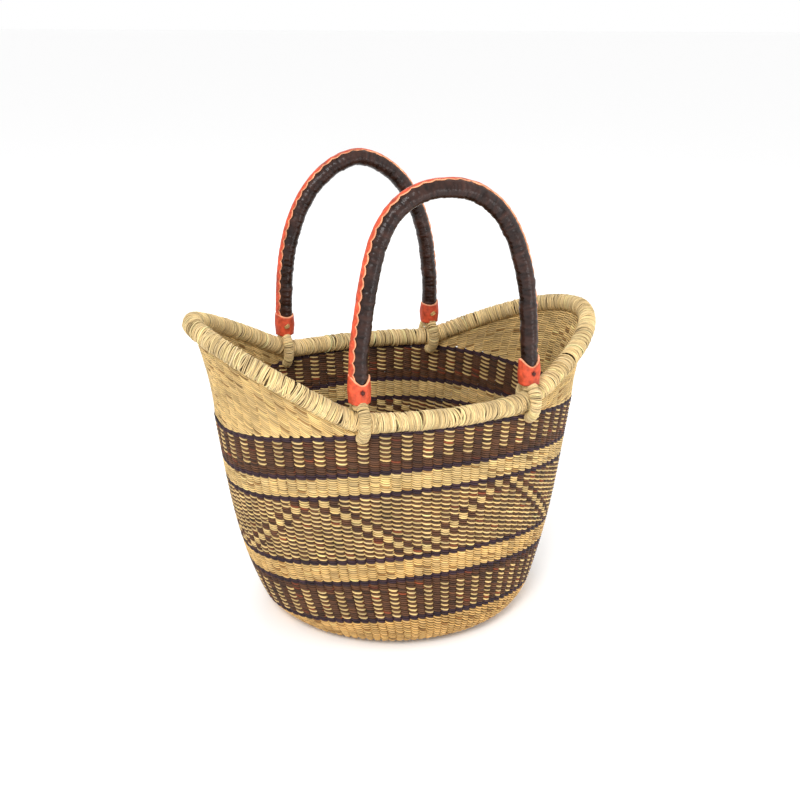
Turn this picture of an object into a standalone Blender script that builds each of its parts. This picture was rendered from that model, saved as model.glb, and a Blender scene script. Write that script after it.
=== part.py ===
"""Woven market basket: an oval tote of twined straw whose rim rises and flares at both ends, with two
leather-wrapped handles that swing on straw loops round the rim.

Metres, +Z up. The origin is the middle of the underside, +X runs along the basket and -Y is its front.
"""

import math

import bmesh
import bpy
import numpy as np

# Clearance between neighbouring solids.
GAP = 0.0003

# Wall: outer half length and half width of the rows at four levels, and its thickness. A row's level
# is its height at the middle of the front and back, and it runs lower by END_DROP at the two ends.
WALL_LEVELS = (0.036, 0.108, 0.173, 0.235)
WALL_HALF_LENGTHS = (0.1443, 0.1680, 0.1795, 0.1880)
WALL_HALF_WIDTHS = (0.1354, 0.1307, 0.1310, 0.1355)
WALL_POWER = 2.05
WALL_THICKNESS = 0.006
WALL_SEGMENTS = 48
END_DROP = 0.0185
DROP_POWER = 2.3

# Base: an oval woven disc, and the level where its turned-up edge becomes the wall.
BASE_HALF_SIZES = (0.120, 0.102)
BASE_EDGE = 0.0348

# Bands of twining up the wall: name, rows, solid steps and colour, from the base edge to the rim.
ROW = 0.00226
BANDS = (
    ("purple_rows_1", 2, 1, "purple_straw"),
    ("lower_dark_band", 16, 2, "brown_straw"),
    ("purple_rows_2", 2, 1, "purple_straw"),
    ("lower_natural_band", 8, 1, "natural_straw"),
    ("purple_rows_3", 2, 1, "purple_straw"),
    ("zigzag_band", 28, 3, "mixed_straw"),
    ("purple_rows_4", 2, 1, "purple_straw"),
    ("upper_natural_band", 8, 1, "natural_straw"),
    ("purple_rows_5", 2, 1, "purple_straw"),
    ("upper_dark_band", 17, 2, "brown_straw"),
)
BANDS_TOP = BASE_EDGE + ROW * sum(band[1] for band in BANDS)

# Rim: a wrapped roll. It is level over the middle and rises to a tip at each end.
RIM_HALF_LENGTH = 0.204
RIM_HALF_WIDTH = 0.131
RIM_POWER = 1.9
RIM_RADIUS = 0.0094
RIM_CORE_RADIUS = 0.0062
RIM_SLOT = 0.0024
RIM_MIDDLE_HEIGHT = 0.238
RIM_TIP_HEIGHTS = {-1: 0.308, 1: 0.294}
RIM_LEVEL_HALF_LENGTH = 0.085
RIM_BEND = 0.08
RIM_SEGMENTS = 60
WING_FLARE = 1.6
WING_STEPS = 3
WING_SEGMENTS = 16
WING_LEAST_HEIGHT = 0.0050
RIM_SEAT = 0.0012

# Handles: shift along X, lean towards the inside in degrees, inward bow of the left leg, and arch powers.
HANDLES = {
    "front": {"side": -1, "shift": 0.0050, "lean": 4.0, "bow": 0.0048, "side_power": 2.2, "top_power": 3.6},
    "back": {"side": 1, "shift": -0.0030, "lean": 0.0, "bow": 0.0, "side_power": 1.75, "top_power": 3.3},
}
HANDLE_HALF_WIDTH = 0.084
HANDLE_HEIGHT = 0.2015
STRAIGHT_HEIGHT = 0.047
HANDLE_POINTS = 34
CORE_RADIUS = 0.0057
SLEEVE_RADIUS = 0.0084
SLEEVE_THICKNESS = 0.0016
LACE_RADIUS = 0.0013
LOOP_RADIUS = 0.0181
LOOP_THICKNESS = 0.0049
COLLAR_BORE = 0.0071
COLLAR_RADII = (0.0098, 0.0108, 0.0095)
COLLAR_HEIGHT = 0.0225
COLLAR_STEPS = 16
STITCH_SIZE = (0.0032, 0.0009, 0.0030)

COLOURS = {
    "natural_straw": (0.72, 0.55, 0.28, 1.0),
    "brown_straw": (0.13, 0.06, 0.025, 1.0),
    "purple_straw": (0.045, 0.02, 0.03, 1.0),
    "mixed_straw": (0.38, 0.24, 0.10, 1.0),
    "brown_leather": (0.055, 0.035, 0.03, 1.0),
    "red_leather": (0.62, 0.12, 0.05, 1.0),
}
ROUGHNESS = {"brown_leather": 0.42, "red_leather": 0.5}
STRAW_ROUGHNESS = 0.7

LENGTH_CURVE = np.polyfit(WALL_LEVELS, WALL_HALF_LENGTHS, 3)
WIDTH_CURVE = np.polyfit(WALL_LEVELS, WALL_HALF_WIDTHS, 3)


def clear_scene():
    for obj in list(bpy.data.objects):
        bpy.data.objects.remove(obj, do_unlink=True)


def new_collection(name):
    collection = bpy.data.collections.new(name)
    bpy.context.scene.collection.children.link(collection)
    return collection


def material(node, colour):
    made = bpy.data.materials.new(node)
    made.use_nodes = True
    shader = made.node_tree.nodes["Principled BSDF"]
    shader.inputs["Base Color"].default_value = COLOURS[colour]
    shader.inputs["Roughness"].default_value = ROUGHNESS.get(colour, STRAW_ROUGHNESS)
    shader.inputs["Metallic"].default_value = 0.0
    return made


def place(obj, node, colour, collection):
    """Names an object, moves it to a collection and gives it its own material."""
    obj.name = node
    obj.data.name = node
    for old in list(obj.users_collection):
        old.objects.unlink(obj)
    collection.objects.link(obj)
    obj.data.materials.clear()
    obj.data.materials.append(material(node, colour))
    return obj


def oval(half_length, half_width, power, angle):
    """The point at an angle round a superellipse."""
    c = math.cos(angle)
    s = math.sin(angle)
    x = math.copysign(abs(c) ** (2 / power), c) * half_length
    y = math.copysign(abs(s) ** (2 / power), s) * half_width
    return x, y


def wall_half_sizes(level):
    """Outer half length and half width of the wall, with the turned-up base edge below BASE_EDGE."""
    sizes = []
    for curve, base in zip((LENGTH_CURVE, WIDTH_CURVE), BASE_HALF_SIZES):
        if level >= BASE_EDGE:
            sizes.append(np.polyval(curve, level))
            continue
        edge = np.polyval(curve, BASE_EDGE)
        corner = edge - np.polyval(np.polyder(curve), BASE_EDGE) * BASE_EDGE
        t = math.sqrt(level / BASE_EDGE)
        sizes.append((1 - t) ** 2 * base + 2 * t * (1 - t) * corner + t * t * edge)
    return sizes


def row_drop(angle, level=BASE_EDGE):
    """How far below its level a row runs at an angle. The rows flatten out below BASE_EDGE."""
    towards_end = abs(math.cos(angle)) ** (2 / WALL_POWER)
    return END_DROP * towards_end**DROP_POWER * min(1.0, level / BASE_EDGE)


def wall_point(level, angle, inset=0.0, power=WALL_POWER):
    length, width = wall_half_sizes(level)
    x, y = oval(length - inset, width - inset, power, angle)
    return x, y, level - row_drop(angle, level)


def rim_point(angle):
    """A point on the middle line of the rim roll."""
    x, y = oval(RIM_HALF_LENGTH, RIM_HALF_WIDTH, RIM_POWER, angle)
    past = (abs(x) - RIM_LEVEL_HALF_LENGTH) / (RIM_HALF_LENGTH - RIM_LEVEL_HALF_LENGTH)
    rise = (past + math.hypot(past, RIM_BEND)) / (1 + math.hypot(1, RIM_BEND))
    tip = RIM_TIP_HEIGHTS[1 if x > 0 else -1]
    return np.array((x, y, RIM_MIDDLE_HEIGHT + (tip - RIM_MIDDLE_HEIGHT) * rise))


def rim_direction(angle):
    """The unit vector along the rim's middle line."""
    step = 0.01
    along = rim_point(angle + step) - rim_point(angle - step)
    return along / np.linalg.norm(along)


def rim_front_angle(x):
    """The angle at which the rim's front half reaches x."""
    c = math.copysign((abs(x) / RIM_HALF_LENGTH) ** (RIM_POWER / 2), x)
    return -math.acos(c)


def wing_point(angle, share, offset):
    """A point of a wing between the top of the bands (share 0) and the rim's middle line (share 1)."""
    top = rim_point(angle)
    mix = share**WING_FLARE
    length, width = wall_half_sizes(BANDS_TOP)
    inwards = (0.5 - offset) * WALL_THICKNESS
    power = WALL_POWER + (RIM_POWER - WALL_POWER) * mix
    half_length = (length - WALL_THICKNESS / 2) * (1 - mix) + RIM_HALF_LENGTH * mix - inwards
    half_width = (width - WALL_THICKNESS / 2) * (1 - mix) + RIM_HALF_WIDTH * mix - inwards
    x, y = oval(half_length, half_width, power, angle)
    start = BANDS_TOP + GAP - row_drop(angle)
    return np.array((x, y, start + (top[2] - start) * share))


def loft(node, sections, colour, collection, wraps):
    """Skins a row of sections of equal point count, closed on itself or capped at both ends."""
    mesh = bpy.data.meshes.new(node)
    bm = bmesh.new()
    rings = [[bm.verts.new(point) for point in section] for section in sections]
    count = len(rings[0])
    pairs = list(zip(rings, rings[1:]))
    if wraps:
        pairs.append((rings[-1], rings[0]))
    else:
        bm.faces.new(rings[0])
        bm.faces.new(reversed(rings[-1]))
    for here, there in pairs:
        for i in range(count):
            j = (i + 1) % count
            bm.faces.new((here[i], there[i], there[j], here[j]))
    bmesh.ops.recalc_face_normals(bm, faces=bm.faces)
    bm.to_mesh(mesh)
    bm.free()
    obj = bpy.data.objects.new(node, mesh)
    return place(obj, node, colour, collection)


def band_top(angle, level):
    """The level of a band's upper edge: its own, or just under the rim roll where that hangs lower."""
    flatness = math.sqrt(1 - rim_direction(angle)[2] ** 2)
    under_rim = rim_point(angle)[2] - RIM_RADIUS / flatness - RIM_SEAT
    return min(level, under_rim + row_drop(angle))


def make_band(node, low, high, steps, colour, collection):
    """One band of the wall, between two row levels."""
    sections = []
    for i in range(WALL_SEGMENTS):
        angle = 2 * math.pi * (i + 0.5) / WALL_SEGMENTS
        top = band_top(angle, high - GAP)
        levels = [low + (top - low) * k / steps for k in range(steps + 1)]
        outer = [wall_point(level, angle) for level in levels]
        inner = [wall_point(level, angle, WALL_THICKNESS) for level in levels]
        sections.append(outer + inner[::-1])
    return loft(node, sections, colour, collection, wraps=True)


def make_bands(collection):
    made = {}
    level = BASE_EDGE
    for node, rows, steps, colour in BANDS:
        made[node] = make_band(node, level, level + rows * ROW, steps, colour, collection)
        level += rows * ROW
    return made


def make_base(collection):
    """The flat disc, and the edge that turns up from it into the wall."""
    bpy.ops.mesh.primitive_cylinder_add(vertices=WALL_SEGMENTS, radius=1, depth=WALL_THICKNESS)
    disc = place(bpy.context.object, "base_disc", "natural_straw", collection)
    disc.scale = (BASE_HALF_SIZES[0] - GAP, BASE_HALF_SIZES[1] - GAP, 1)
    disc.location.z = WALL_THICKNESS / 2
    steps = 5
    sections = []
    for i in range(WALL_SEGMENTS):
        angle = 2 * math.pi * (i + 0.5) / WALL_SEGMENTS
        outer = []
        inner = []
        for k in range(steps + 1):
            t = k / steps
            level = min(BASE_EDGE * t * t, BASE_EDGE - GAP)
            power = 2 + (WALL_POWER - 2) * t
            outer.append(wall_point(level, angle, power=power))
            x, y, z = wall_point(level, angle, WALL_THICKNESS * t, power)
            inner.append((x, y, z + WALL_THICKNESS * (1 - t * t)))
        sections.append(outer + inner[::-1])
    loft("base_edge_band", sections, "natural_straw", collection, wraps=True)


def wing_clear_height(angle):
    """How far the rim's middle line stands off the top of the bands, square to the rim."""
    rise = rim_point(angle) - wing_point(angle, 0, 0.5)
    along = rim_direction(angle)
    return float(np.linalg.norm(rise - along * along.dot(rise)))


def make_wing(node, side, collection):
    """One raised end of the wall, from the top of the bands to the underside of the rim roll."""
    middle = 0 if side > 0 else -math.pi
    lost = RIM_RADIUS + RIM_SEAT
    reach = 0.0
    while wing_clear_height(middle + reach) > lost + WING_LEAST_HEIGHT:
        reach += 0.005
    sections = []
    for i in range(WING_SEGMENTS + 1):
        angle = middle + reach * (2 * i / WING_SEGMENTS - 1)
        last = 1 - lost / wing_clear_height(angle)
        shares = [last * k / WING_STEPS for k in range(WING_STEPS + 1)]
        outer = [wing_point(angle, share, 1) for share in shares]
        inner = [wing_point(angle, share, 0) for share in shares]
        sections.append(outer + inner[::-1])
    return loft(node, sections, "natural_straw", collection, wraps=False)


def rim_frame(angle):
    """The rim's middle point, with unit vectors towards the wall below it and across the rim."""
    here = rim_point(angle)
    along = rim_direction(angle)
    clear = here[2] - BANDS_TOP + row_drop(angle)
    share = max(0.0, 1 - RIM_RADIUS / max(clear, RIM_RADIUS))
    down = wing_point(angle, share, 0.5) - here
    down -= along * down.dot(along)
    down /= np.linalg.norm(down)
    return here, down, np.cross(along, down)


def make_rim(collection):
    """The straw core, and the wrapping round it, which is open along the wall's upper edge."""
    sections = []
    centres = []
    opening = math.asin(RIM_SLOT / RIM_RADIUS)
    inside = RIM_CORE_RADIUS + GAP
    turns = [opening + (2 * math.pi - 2 * opening) * k / 10 for k in range(11)]
    for i in range(RIM_SEGMENTS):
        here, down, across = rim_frame(2 * math.pi * (i + 0.5) / RIM_SEGMENTS)
        outer = [here + RIM_RADIUS * (down * math.cos(t) + across * math.sin(t)) for t in turns]
        inner = [here + inside * (down * math.cos(t) + across * math.sin(t)) for t in turns]
        sections.append(outer + inner[::-1])
        centres.append(here)
    loft("rim_wrap", sections, "natural_straw", collection, wraps=True)
    curve = new_curve("rim_core", centres, RIM_CORE_RADIUS - GAP, 2, cyclic=True)
    place(curve, "rim_core", "natural_straw", collection)


def new_curve(name, points, radius, resolution, cyclic=False):
    """A round bar along a row of points, with flat ends unless it closes on itself."""
    data = bpy.data.curves.new(name, "CURVE")
    data.dimensions = "3D"
    data.bevel_depth = radius
    data.bevel_resolution = resolution
    data.use_fill_caps = not cyclic
    spline = data.splines.new("POLY")
    spline.points.add(len(points) - 1)
    for target, point in zip(spline.points, points):
        target.co = (*point, 1.0)
    spline.use_cyclic_u = cyclic
    return bpy.data.objects.new(name, data)


def arch_points(shape, z_start, outwards=0.0):
    """Evenly spaced points up one leg of a handle, over its top and down the other."""
    u = np.linspace(0, math.pi, 721)
    x = HANDLE_HALF_WIDTH * np.sign(np.cos(u)) * np.abs(np.cos(u)) ** (2 / shape["side_power"])
    z = HANDLE_HEIGHT * np.abs(np.sin(u)) ** (2 / shape["top_power"])
    rise = np.clip((z - STRAIGHT_HEIGHT) / (HANDLE_HEIGHT - STRAIGHT_HEIGHT), 0, 1)
    x = x + np.where(x < 0, shape["bow"], 0) * 16 * (rise * (1 - rise)) ** 2
    x, z = x[z >= z_start], z[z >= z_start]
    run = np.concatenate(([0], np.cumsum(np.hypot(np.diff(x), np.diff(z)))))
    even = np.linspace(0, run[-1], HANDLE_POINTS)
    x, z = np.interp(even, run, x), np.interp(even, run, z)
    dx, dz = np.gradient(x), np.gradient(z)
    size = np.hypot(dx, dz)
    x, z = x + outwards * dz / size, z - outwards * dx / size
    return [(a, 0.0, b) for a, b in zip(x, z)]


def hinge_point(shape):
    """The middle of the line through a handle's two loops, on the rim's middle line."""
    feet = []
    for leg in (-1, 1):
        angle = rim_front_angle(shape["shift"] + leg * HANDLE_HALF_WIDTH)
        feet.append(rim_point(angle))
    y = -shape["side"] * (feet[0][1] + feet[1][1]) / 2
    return shape["shift"], y, (feet[0][2] + feet[1][2]) / 2


def make_sleeve(node, shape, z_start, collection):
    """The leather skin: an open tube given thickness inwards."""
    curve = new_curve(node, arch_points(shape, z_start), SLEEVE_RADIUS, 2)
    curve.data.use_fill_caps = False
    bpy.context.scene.collection.objects.link(curve)
    bpy.context.view_layer.update()
    evaluated = curve.evaluated_get(bpy.context.evaluated_depsgraph_get())
    mesh = bpy.data.meshes.new_from_object(evaluated)
    bpy.data.objects.remove(curve, do_unlink=True)
    sleeve = place(bpy.data.objects.new(node, mesh), node, "brown_leather", collection)
    skin = sleeve.modifiers.new("leather", "SOLIDIFY")
    skin.thickness = SLEEVE_THICKNESS
    skin.offset = -1
    return sleeve


def make_collar(node, collection):
    """A turned leather collar that covers the end of the handle's sleeve."""
    low, middle, high = COLLAR_RADII
    outline = (
        (COLLAR_BORE, COLLAR_HEIGHT),
        (high, COLLAR_HEIGHT),
        (middle, COLLAR_HEIGHT * 0.45),
        (low, 0),
        (COLLAR_BORE, 0),
    )
    mesh = bpy.data.meshes.new(node)
    bm = bmesh.new()
    corners = [bm.verts.new((x, 0, z)) for x, z in outline]
    for here, there in zip(corners, corners[1:] + corners[:1]):
        bm.edges.new((here, there))
    bm.to_mesh(mesh)
    bm.free()
    collar = place(bpy.data.objects.new(node, mesh), node, "red_leather", collection)
    turn = collar.modifiers.new("turn", "SCREW")
    turn.steps = COLLAR_STEPS
    turn.render_steps = COLLAR_STEPS
    turn.use_merge_vertices = True
    turn.merge_threshold = 0.00001
    return collar


def make_loop(node, collection):
    """The straw ring that holds one leg of a handle to the rim."""
    bpy.ops.mesh.primitive_torus_add(
        major_segments=20,
        minor_segments=8,
        major_radius=LOOP_RADIUS,
        minor_radius=LOOP_THICKNESS,
        rotation=(0, math.pi / 2, 0),
    )
    return place(bpy.context.object, node, "natural_straw", collection)


def make_stitch(node, collection):
    bpy.ops.mesh.primitive_uv_sphere_add(segments=8, ring_count=5, radius=1)
    stitch = place(bpy.context.object, node, "natural_straw", collection)
    stitch.scale = STITCH_SIZE
    return stitch


def make_handle(name, shape, collection):
    """One handle, hung from an empty on its hinge line."""
    pivot = bpy.data.objects.new(name + "_handle_pivot", None)
    collection.objects.link(pivot)
    pivot.location = hinge_point(shape)
    pivot.rotation_euler.x = shape["side"] * math.radians(shape["lean"])
    z_collar = LOOP_RADIUS + LOOP_THICKNESS + GAP
    z_sleeve = z_collar + COLLAR_HEIGHT + GAP
    lace_offset = SLEEVE_RADIUS + LACE_RADIUS + GAP
    core = new_curve(name + "_handle_core", arch_points(shape, z_collar), CORE_RADIUS, 1)
    place(core, name + "_handle_core", "natural_straw", collection)
    sleeve = make_sleeve(name + "_handle_sleeve", shape, z_sleeve, collection)
    lace_points = arch_points(shape, z_sleeve, lace_offset)
    lace = new_curve(name + "_handle_lace", lace_points, LACE_RADIUS, 0)
    place(lace, name + "_handle_lace", "red_leather", collection)
    pieces = [core, sleeve, lace]
    for leg, x in (("left", -HANDLE_HALF_WIDTH), ("right", HANDLE_HALF_WIDTH)):
        prefix = name + "_" + leg
        loop = make_loop(prefix + "_loop", collection)
        collar = make_collar(prefix + "_collar", collection)
        stitch = make_stitch(prefix + "_stitch", collection)
        loop.location.x = x
        collar.location = (x, 0, z_collar)
        stitch.location = (x, -(COLLAR_RADII[1] + STITCH_SIZE[1] + GAP), z_collar + COLLAR_HEIGHT * 0.45)
        pieces += [loop, collar, stitch]
    for piece in pieces:
        piece.parent = pivot
    return pivot


def cut_loop_slots(band, cutters):
    """Slots in the top of the wall where the handle loops pass under the rim."""
    width = 2 * (LOOP_THICKNESS + 2 * GAP)
    reach = LOOP_RADIUS + LOOP_THICKNESS + 2 * GAP
    for name, shape in HANDLES.items():
        x, y, z = hinge_point(shape)
        for leg, dx in (("left", -HANDLE_HALF_WIDTH), ("right", HANDLE_HALF_WIDTH)):
            bpy.ops.mesh.primitive_cube_add(size=1, location=(x + dx, y, z - reach / 2))
            cutter = bpy.context.object
            cutter.name = name + "_" + leg + "_slot_cutter"
            cutter.scale = (width, 2 * reach, reach)
            cutter.display_type = "WIRE"
            cutter.hide_render = True
            for old in list(cutter.users_collection):
                old.objects.unlink(cutter)
            cutters.objects.link(cutter)
            cut = band.modifiers.new(cutter.name, "BOOLEAN")
            cut.operation = "DIFFERENCE"
            cut.object = cutter


def build():
    clear_scene()
    parts = new_collection("woven_market_basket")
    cutters = new_collection("cutters")
    make_base(parts)
    bands = make_bands(parts)
    make_wing("left_wing", -1, parts)
    make_wing("right_wing", 1, parts)
    make_rim(parts)
    for name, shape in HANDLES.items():
        make_handle(name, shape, parts)
    cut_loop_slots(bands["upper_dark_band"], cutters)


build()
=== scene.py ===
"""Woven market basket: the visible surfaces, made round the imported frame.

The wall is real two-strand twining: in every row two straw strands pass in turn outside and inside the
upright stakes and cross between them. Lengths are in metres and angles in radians unless a comment says
otherwise.
"""

import math

import bpy
import numpy as np
from mathutils import Matrix, Vector


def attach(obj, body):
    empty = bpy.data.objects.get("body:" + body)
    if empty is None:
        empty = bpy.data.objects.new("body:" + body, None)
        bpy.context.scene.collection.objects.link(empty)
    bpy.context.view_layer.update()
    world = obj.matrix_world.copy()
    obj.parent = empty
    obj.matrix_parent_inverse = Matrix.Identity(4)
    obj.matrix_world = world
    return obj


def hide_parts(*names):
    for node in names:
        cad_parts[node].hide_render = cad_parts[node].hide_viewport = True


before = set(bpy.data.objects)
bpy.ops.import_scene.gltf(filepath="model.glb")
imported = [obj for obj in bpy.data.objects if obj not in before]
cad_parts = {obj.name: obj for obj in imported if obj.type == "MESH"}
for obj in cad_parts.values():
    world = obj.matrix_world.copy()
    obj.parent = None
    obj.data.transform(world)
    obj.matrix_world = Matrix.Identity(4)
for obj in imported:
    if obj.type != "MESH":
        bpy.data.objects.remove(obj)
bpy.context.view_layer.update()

rng = np.random.default_rng(20)

# The basket's own dimensions, as in its CAD model.
WALL_LEVELS = (0.036, 0.108, 0.173, 0.235)
WALL_HALF_LENGTHS = (0.1443, 0.1680, 0.1795, 0.1880)
WALL_HALF_WIDTHS = (0.1354, 0.1307, 0.1310, 0.1355)
WALL_POWER = 2.05
WALL_THICKNESS = 0.006
END_DROP = 0.0185
DROP_POWER = 2.3
BASE_HALF_SIZES = (0.120, 0.102)
BASE_EDGE = 0.0348
ROW = 0.00226
RIM_HALF_LENGTH = 0.204
RIM_HALF_WIDTH = 0.131
RIM_POWER = 1.9
RIM_RADIUS = 0.0094
RIM_MIDDLE_HEIGHT = 0.238
RIM_TIP_HEIGHTS = (0.308, 0.294)
RIM_LEVEL_HALF_LENGTH = 0.085
RIM_BEND = 0.08
WING_FLARE = 1.6
HANDLES = {
    "front": {"side": -1, "shift": 0.005, "lean": 4.0, "bow": 0.0048, "side_power": 2.2, "top_power": 3.6},
    "back": {"side": 1, "shift": -0.003, "lean": 0.0, "bow": 0.0, "side_power": 1.75, "top_power": 3.3},
}
HANDLE_HALF_WIDTH = 0.084
HANDLE_HEIGHT = 0.2015
STRAIGHT_HEIGHT = 0.047
SLEEVE_RADIUS = 0.0084
COLLAR_HEIGHT = 0.0225

# The visible collars start lower than the CAD ones, because the visible loops hug the rim. The radii are at
# the lower edge, the middle and the upper edge.
COLLAR_START = 0.0167
COLLAR_RADII = (0.0098, 0.0108, 0.0098)

# Weaving: cells round the basket, one for each stake, evenly spaced at CELL_LEVEL, and where the first one's
# middle falls. The zigzag repeats every ZIGZAG_CELLS, has one valley at cell ZIGZAG_VALLEY, and climbs by
# ZIGZAG_STEP rows per cell.
CELLS = 100
CELL_SHIFT = 0.2
CELL_LEVEL = 0.158
ZIGZAG_CELLS = 20
ZIGZAG_VALLEY = 72
ZIGZAG_STEP = 3

LENGTH_CURVE = np.polyfit(WALL_LEVELS, WALL_HALF_LENGTHS, 3)
WIDTH_CURVE = np.polyfit(WALL_LEVELS, WALL_HALF_WIDTHS, 3)

# Straw and leather colours, as linear RGB.
NATURAL = (0.80, 0.545, 0.22)
BROWN = (0.112, 0.043, 0.015)
PURPLE = (0.045, 0.017, 0.024)
RIM_STRAW = (0.86, 0.62, 0.29)
RED_LEATHER = (0.52, 0.068, 0.026)
BROWN_LEATHER = (0.024, 0.0095, 0.0065)
CUT_EDGE = (0.78, 0.34, 0.18)
RAFFIA = (0.66, 0.40, 0.15)
DARK_THREAD = (0.10, 0.02, 0.015)
RED_DYE = (1.9, 1.1, 0.9)
DARK_FLECK = (0.50, 0.40, 0.30)
WARM = (1.0, 0.92, 0.82)
WARMEST = (0.96, 0.82, 0.66)


def unit(vectors):
    """Vectors along the last axis, scaled to length 1."""
    return vectors / np.linalg.norm(vectors, axis=-1, keepdims=True)


def superellipse(angle, power):
    """Unit superellipse coordinates at angles."""
    c, s = np.cos(angle), np.sin(angle)
    return np.sign(c) * np.abs(c) ** (2 / power), np.sign(s) * np.abs(s) ** (2 / power)


def wall_half_sizes(level):
    """Outer half length and half width of the row at a level. The base turns up below BASE_EDGE."""
    t = np.sqrt(np.clip(level / BASE_EDGE, 0, 1))
    sizes = []
    for curve, base in zip((LENGTH_CURVE, WIDTH_CURVE), BASE_HALF_SIZES):
        edge = np.polyval(curve, BASE_EDGE)
        corner = edge - np.polyval(np.polyder(curve), BASE_EDGE) * BASE_EDGE
        turned = (1 - t) ** 2 * base + 2 * t * (1 - t) * corner + t * t * edge
        sizes.append(np.where(level >= BASE_EDGE, np.polyval(curve, level), turned))
    return sizes


def row_drop(angle, level=BASE_EDGE):
    """How much lower a row runs at an angle than at the middle of the front."""
    towards_end = np.abs(superellipse(angle, WALL_POWER)[0])
    return END_DROP * towards_end**DROP_POWER * np.clip(level / BASE_EDGE, 0, 1)


def wall_middle(level, angle):
    """The middle surface of the wall."""
    t = np.sqrt(np.clip(level / BASE_EDGE, 0, 1))
    length, width = wall_half_sizes(level)
    x, y = superellipse(angle, 2 + (WALL_POWER - 2) * t)
    inset = WALL_THICKNESS / 2 * t
    lift = WALL_THICKNESS / 2 * (1 - t * t)
    return np.stack(((length - inset) * x, (width - inset) * y, level - row_drop(angle, level) + lift), -1)


def cell_angles():
    """Cell coordinates round the basket and their angles, even along the row at CELL_LEVEL."""
    angle = np.linspace(0, 2 * math.pi, 4001)
    run = np.linalg.norm(np.diff(wall_middle(np.full(4001, CELL_LEVEL), angle), axis=0), axis=1)
    return np.concatenate(([0], np.cumsum(run))) / run.sum() * CELLS, angle


CELL_RUN, CELL_ANGLE = cell_angles()


def angle_of(cell):
    """The angle round the basket of a cell coordinate."""
    turns, rest = np.divmod(np.asarray(cell, float) + CELL_SHIFT, CELLS)
    return np.interp(rest, CELL_RUN, CELL_ANGLE) + 2 * math.pi * turns


def rim_point(angle):
    """The rim's middle line: level along the sides, rising to a tip at each end."""
    x, y = superellipse(angle, RIM_POWER)
    x, y = x * RIM_HALF_LENGTH, y * RIM_HALF_WIDTH
    past = (np.abs(x) - RIM_LEVEL_HALF_LENGTH) / (RIM_HALF_LENGTH - RIM_LEVEL_HALF_LENGTH)
    rise = (past + np.hypot(past, RIM_BEND)) / (1 + math.hypot(1, RIM_BEND))
    tip = np.where(x > 0, RIM_TIP_HEIGHTS[1], RIM_TIP_HEIGHTS[0])
    return np.stack((x, y, RIM_MIDDLE_HEIGHT + (tip - RIM_MIDDLE_HEIGHT) * rise), -1)


def wing_middle(angle, share, top_level):
    """The middle surface of a raised end, from the top of the bands (share 0) to the rim's middle line."""
    mix = np.clip(share, 0, 1) ** WING_FLARE
    length, width = wall_half_sizes(np.asarray(top_level))
    power = WALL_POWER + (RIM_POWER - WALL_POWER) * mix
    x, y = superellipse(angle, power)
    x = x * ((length - WALL_THICKNESS / 2) * (1 - mix) + RIM_HALF_LENGTH * mix)
    y = y * ((width - WALL_THICKNESS / 2) * (1 - mix) + RIM_HALF_WIDTH * mix)
    start = top_level - row_drop(angle)
    return np.stack((x, y, start + (rim_point(angle)[..., 2] - start) * share), -1)


# Meshes ---------------------------------------------------------------------------------------------------


def tube_faces(tubes, count, sides, closed):
    """Quads that skin tubes, each a row of rings, with their open ends capped. The side count is even."""
    index = np.arange(tubes * count * sides).reshape(tubes, count, sides)
    here = index if closed else index[:, :-1]
    there = np.roll(index, -1, axis=1) if closed else index[:, 1:]
    quads = [np.stack((here, there, np.roll(there, -1, 2), np.roll(here, -1, 2)), -1).reshape(-1, 4)]
    if not closed:
        for i in range(1, sides - 2, 2):
            corners = [0, i, i + 1, i + 2]
            quads.append(index[:, 0][:, corners])
            quads.append(index[:, -1][:, corners[::-1]])
    return np.concatenate(quads)


def mesh_object(name, points, quads, colours, grain):
    """A smooth mesh from arrays, with its colour and its fibre coordinates kept at the points."""
    mesh = bpy.data.meshes.new(name)
    mesh.vertices.add(len(points))
    mesh.vertices.foreach_set("co", np.ascontiguousarray(points, np.float32).ravel())
    mesh.loops.add(quads.size)
    mesh.loops.foreach_set("vertex_index", np.ascontiguousarray(quads, np.int32).ravel())
    mesh.polygons.add(len(quads))
    mesh.polygons.foreach_set("loop_start", np.arange(0, quads.size, 4, dtype=np.int32))
    mesh.update(calc_edges=True)
    mesh.shade_smooth()
    rgba = np.ones((len(points), 4), np.float32)
    rgba[:, :3] = colours
    # The colour kept at the points holds the straw's and leather's colours together with their painted shade
    # and painted light.
    mesh.attributes.new("colour_with_painted_shade", "FLOAT_COLOR", "POINT").data.foreach_set("color", rgba.ravel())
    fibres = np.ascontiguousarray(grain, np.float32)
    mesh.attributes.new("grain", "FLOAT_VECTOR", "POINT").data.foreach_set("vector", fibres.ravel())
    obj = bpy.data.objects.new(name, mesh)
    bpy.context.scene.collection.objects.link(obj)
    return obj


def tube_batch(rings, closed, colours, along):
    """Straw tubes of shape (tubes, rings, sides, 3), with painted shade along their edges. along is each
    ring's run.
    """
    tubes, count, sides = rings.shape[:3]
    turn = 2 * math.pi * np.arange(sides) / sides
    seeds = rng.uniform(0, 40, (tubes, 1, 1))
    grain = np.zeros(rings.shape)
    grain[..., 0] = along[..., None] + seeds
    grain[..., 1] = 0.0012 * np.cos(turn) + seeds * 0.7
    grain[..., 2] = 0.0012 * np.sin(turn)
    # Painted shade: the sides where neighbouring strands and wraps touch are darkened.
    edge = 1 - EDGE_PAINTED_SHADE * np.abs(np.sin(turn))[:, None] ** 2
    shades = np.broadcast_to(colours, rings.shape) * edge
    faces = tube_faces(tubes, count, sides, closed)
    return rings.reshape(-1, 3), faces, shades.reshape(-1, 3), grain.reshape(-1, 3)


def joined(name, batches):
    """One mesh from several batches of tubes."""
    starts = np.cumsum([0] + [len(batch[0]) for batch in batches])
    faces = np.concatenate([batch[1] + start for batch, start in zip(batches, starts)])
    points, shades, grain = (np.concatenate([batch[k] for batch in batches]) for k in (0, 2, 3))
    return mesh_object(name, points, faces, shades, grain)


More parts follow.
